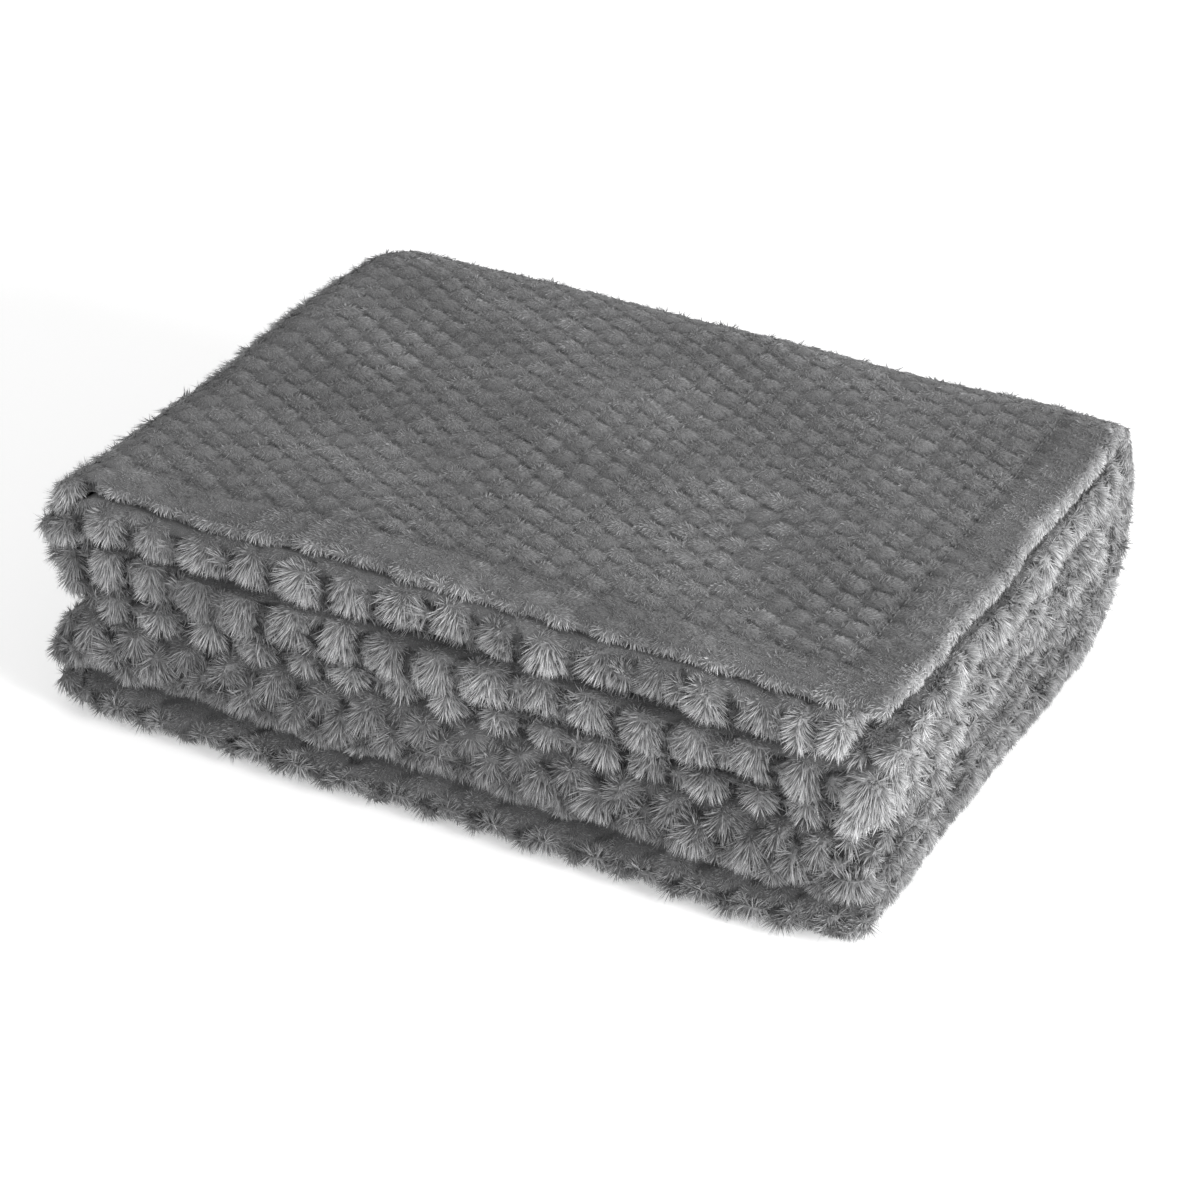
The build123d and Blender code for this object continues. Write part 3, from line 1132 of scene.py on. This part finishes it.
fleece_pile = pile_finish()
fleece_cloth = cloth_finish()
for sheet in sheets:
    sheet.data.materials.append(fleece_cloth)
for piece in pile:
    piece.data.materials.clear()
    piece.data.materials.append(fleece_pile)
print("fleece on", len(sheets), "stretches and", len(pile), "areas of pile")

# %% [markdown]
# ## The thread's finish
# Sewing thread is two or three plies twisted together. A fine slanting wave across the bead gives
# the twist, and the thread is a little deeper in tone than the fleece, so the seam stays quiet.

# %% Sewing thread
TWISTS_PER_METRE = 900.0
THREAD_TONE = 0.12
PLY_GAIN = 0.22


def thread_finish():
    material, tree, shader = soft_shader("hem_thread", 0.6, 0.1)
    place = node(tree, "ShaderNodeTexCoord", {}, {}, 3)
    setting = {"wave_type": "BANDS", "bands_direction": "DIAGONAL"}
    ply = node(tree, "ShaderNodeTexWave", setting, {"Vector": place, "Scale": TWISTS_PER_METRE}, 1)
    tree.links.new(fleece_color(tree, THREAD_TONE + ply * PLY_GAIN).socket, shader.inputs["Base Color"])
    raised = node(tree, "ShaderNodeBump", {}, {"Strength": 0.5, "Distance": 0.0002, "Height": ply})
    tree.links.new(raised.socket, shader.inputs["Normal"])
    return material


hem_thread = thread_finish()
for piece in stitches:
    piece.data.materials.append(hem_thread)
print("thread on", len(stitches), "seams")

# %% [markdown]
# ## What moves with what
# The bundle opens at its last fold. The fold itself knows how far round each point of the cloth
# lies. Each piece of cloth and pile has its place baked into its mesh and that share is read from
# it; the stitches are hung on the upper half.


def follow_fold(piece):
    """Bakes the piece's place into its mesh and reads how far round the last fold each point has turned.
    """
    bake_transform(piece)
    share = numbers(piece.data, "turned").astype(np.float32)


for piece in [*sheets, *pile]:
    follow_fold(piece)
for piece in stitches:
    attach(piece, "upper_half")
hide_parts("front_hem_stitching")
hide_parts("right_hem_stitching")
soft_nodes = [name for name in frame["nodes"] if not name.endswith("stitching")]
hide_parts(*soft_nodes)
print("cloth stands for", len(soft_nodes), "packed parts")

# %% [markdown]
# ## Floor, light and camera
# The floor is a plain pale sheet. A large low light from the right picks out that end, a softer one
# fills the open front, and the top gets only the glow of the room, so the three faces read apart.
# A weak light from behind keeps the spine from going dull.

# %% Floor
FLOOR_SIZE = 8.0
FLOOR_COLOR = (0.92, 0.92, 0.92, 1.0)
FLOOR_GLOW = 0.36
WHITE = (1.0, 1.0, 1.0, 1.0)


def lay_floor():
    bm = bmesh.new()
    bmesh.ops.create_grid(bm, x_segments=1, y_segments=1, size=FLOOR_SIZE / 2)
    mesh = finished("floor", bm)
    material = bpy.data.materials.new("floor")
    material.use_nodes = True
    shader = material.node_tree.nodes["Principled BSDF"]
    shader.inputs["Base Color"].default_value = FLOOR_COLOR
    shader.inputs["Roughness"].default_value = 0.9
    shader.inputs["Emission Color"].default_value = WHITE
    shader.inputs["Emission Strength"].default_value = FLOOR_GLOW
    mesh.materials.append(material)
    stand("floor", mesh)


lay_floor()
print("floor laid,", FLOOR_SIZE, "m wide")

# %% Lights
LIGHTS = (
    ("right_light", (2.00, -0.50, 0.62), 0.80, 64.0),
    ("front_light", (-0.90, -2.00, 0.90), 1.20, 16.0),
    ("back_light", (-0.80, 1.90, 0.90), 1.40, 14.0),
)
ROOM_GLOW = 0.43


def hang_light(name, place, size, power):
    lamp = bpy.data.lights.new(name, "AREA")
    lamp.size = size
    lamp.energy = power
    light = stand(name, lamp)
    light.location = place
    towards = Vector((0, 0, MID_Z)) - Vector(place)
    light.rotation_euler = towards.to_track_quat("-Z", "Y").to_euler()


for light in LIGHTS:
    hang_light(*light)
room = bpy.data.worlds.new("room")
room.use_nodes = True
glow = room.node_tree.nodes["Background"]
glow.inputs["Color"].default_value = WHITE
glow.inputs["Strength"].default_value = ROOM_GLOW
bpy.context.scene.world = room
bpy.context.scene.view_settings.view_transform = "Standard"
print(len(LIGHTS), "lights")

# %% Camera
AZIMUTH = math.radians(25.80)
ELEVATION = math.radians(28.67)
DISTANCE = 1.722
ROLL = math.radians(2.318)
LENS = 108.5
SHIFT = (-0.00725, -0.0447)


def place_camera():
    """Stands the camera off the front right, above, tipped by the roll."""
    back = Vector((
        math.sin(AZIMUTH) * math.cos(ELEVATION),
        -math.cos(AZIMUTH) * math.cos(ELEVATION),
        math.sin(ELEVATION),
    ))
    lens = bpy.data.cameras.new("camera")
    lens.lens = LENS
    lens.sensor_width = 36
    lens.shift_x, lens.shift_y = SHIFT
    camera = stand("camera", lens)
    camera.location = Vector((0, 0, MID_Z)) + back * DISTANCE
    look = (-back).to_track_quat("-Z", "Y").to_matrix() @ Matrix.Rotation(ROLL, 3, "Z")
    camera.rotation_euler = look.to_euler()
    bpy.context.scene.camera = camera


place_camera()
print("camera", DISTANCE, "m from the bundle's middle")

# %% Finish
import json
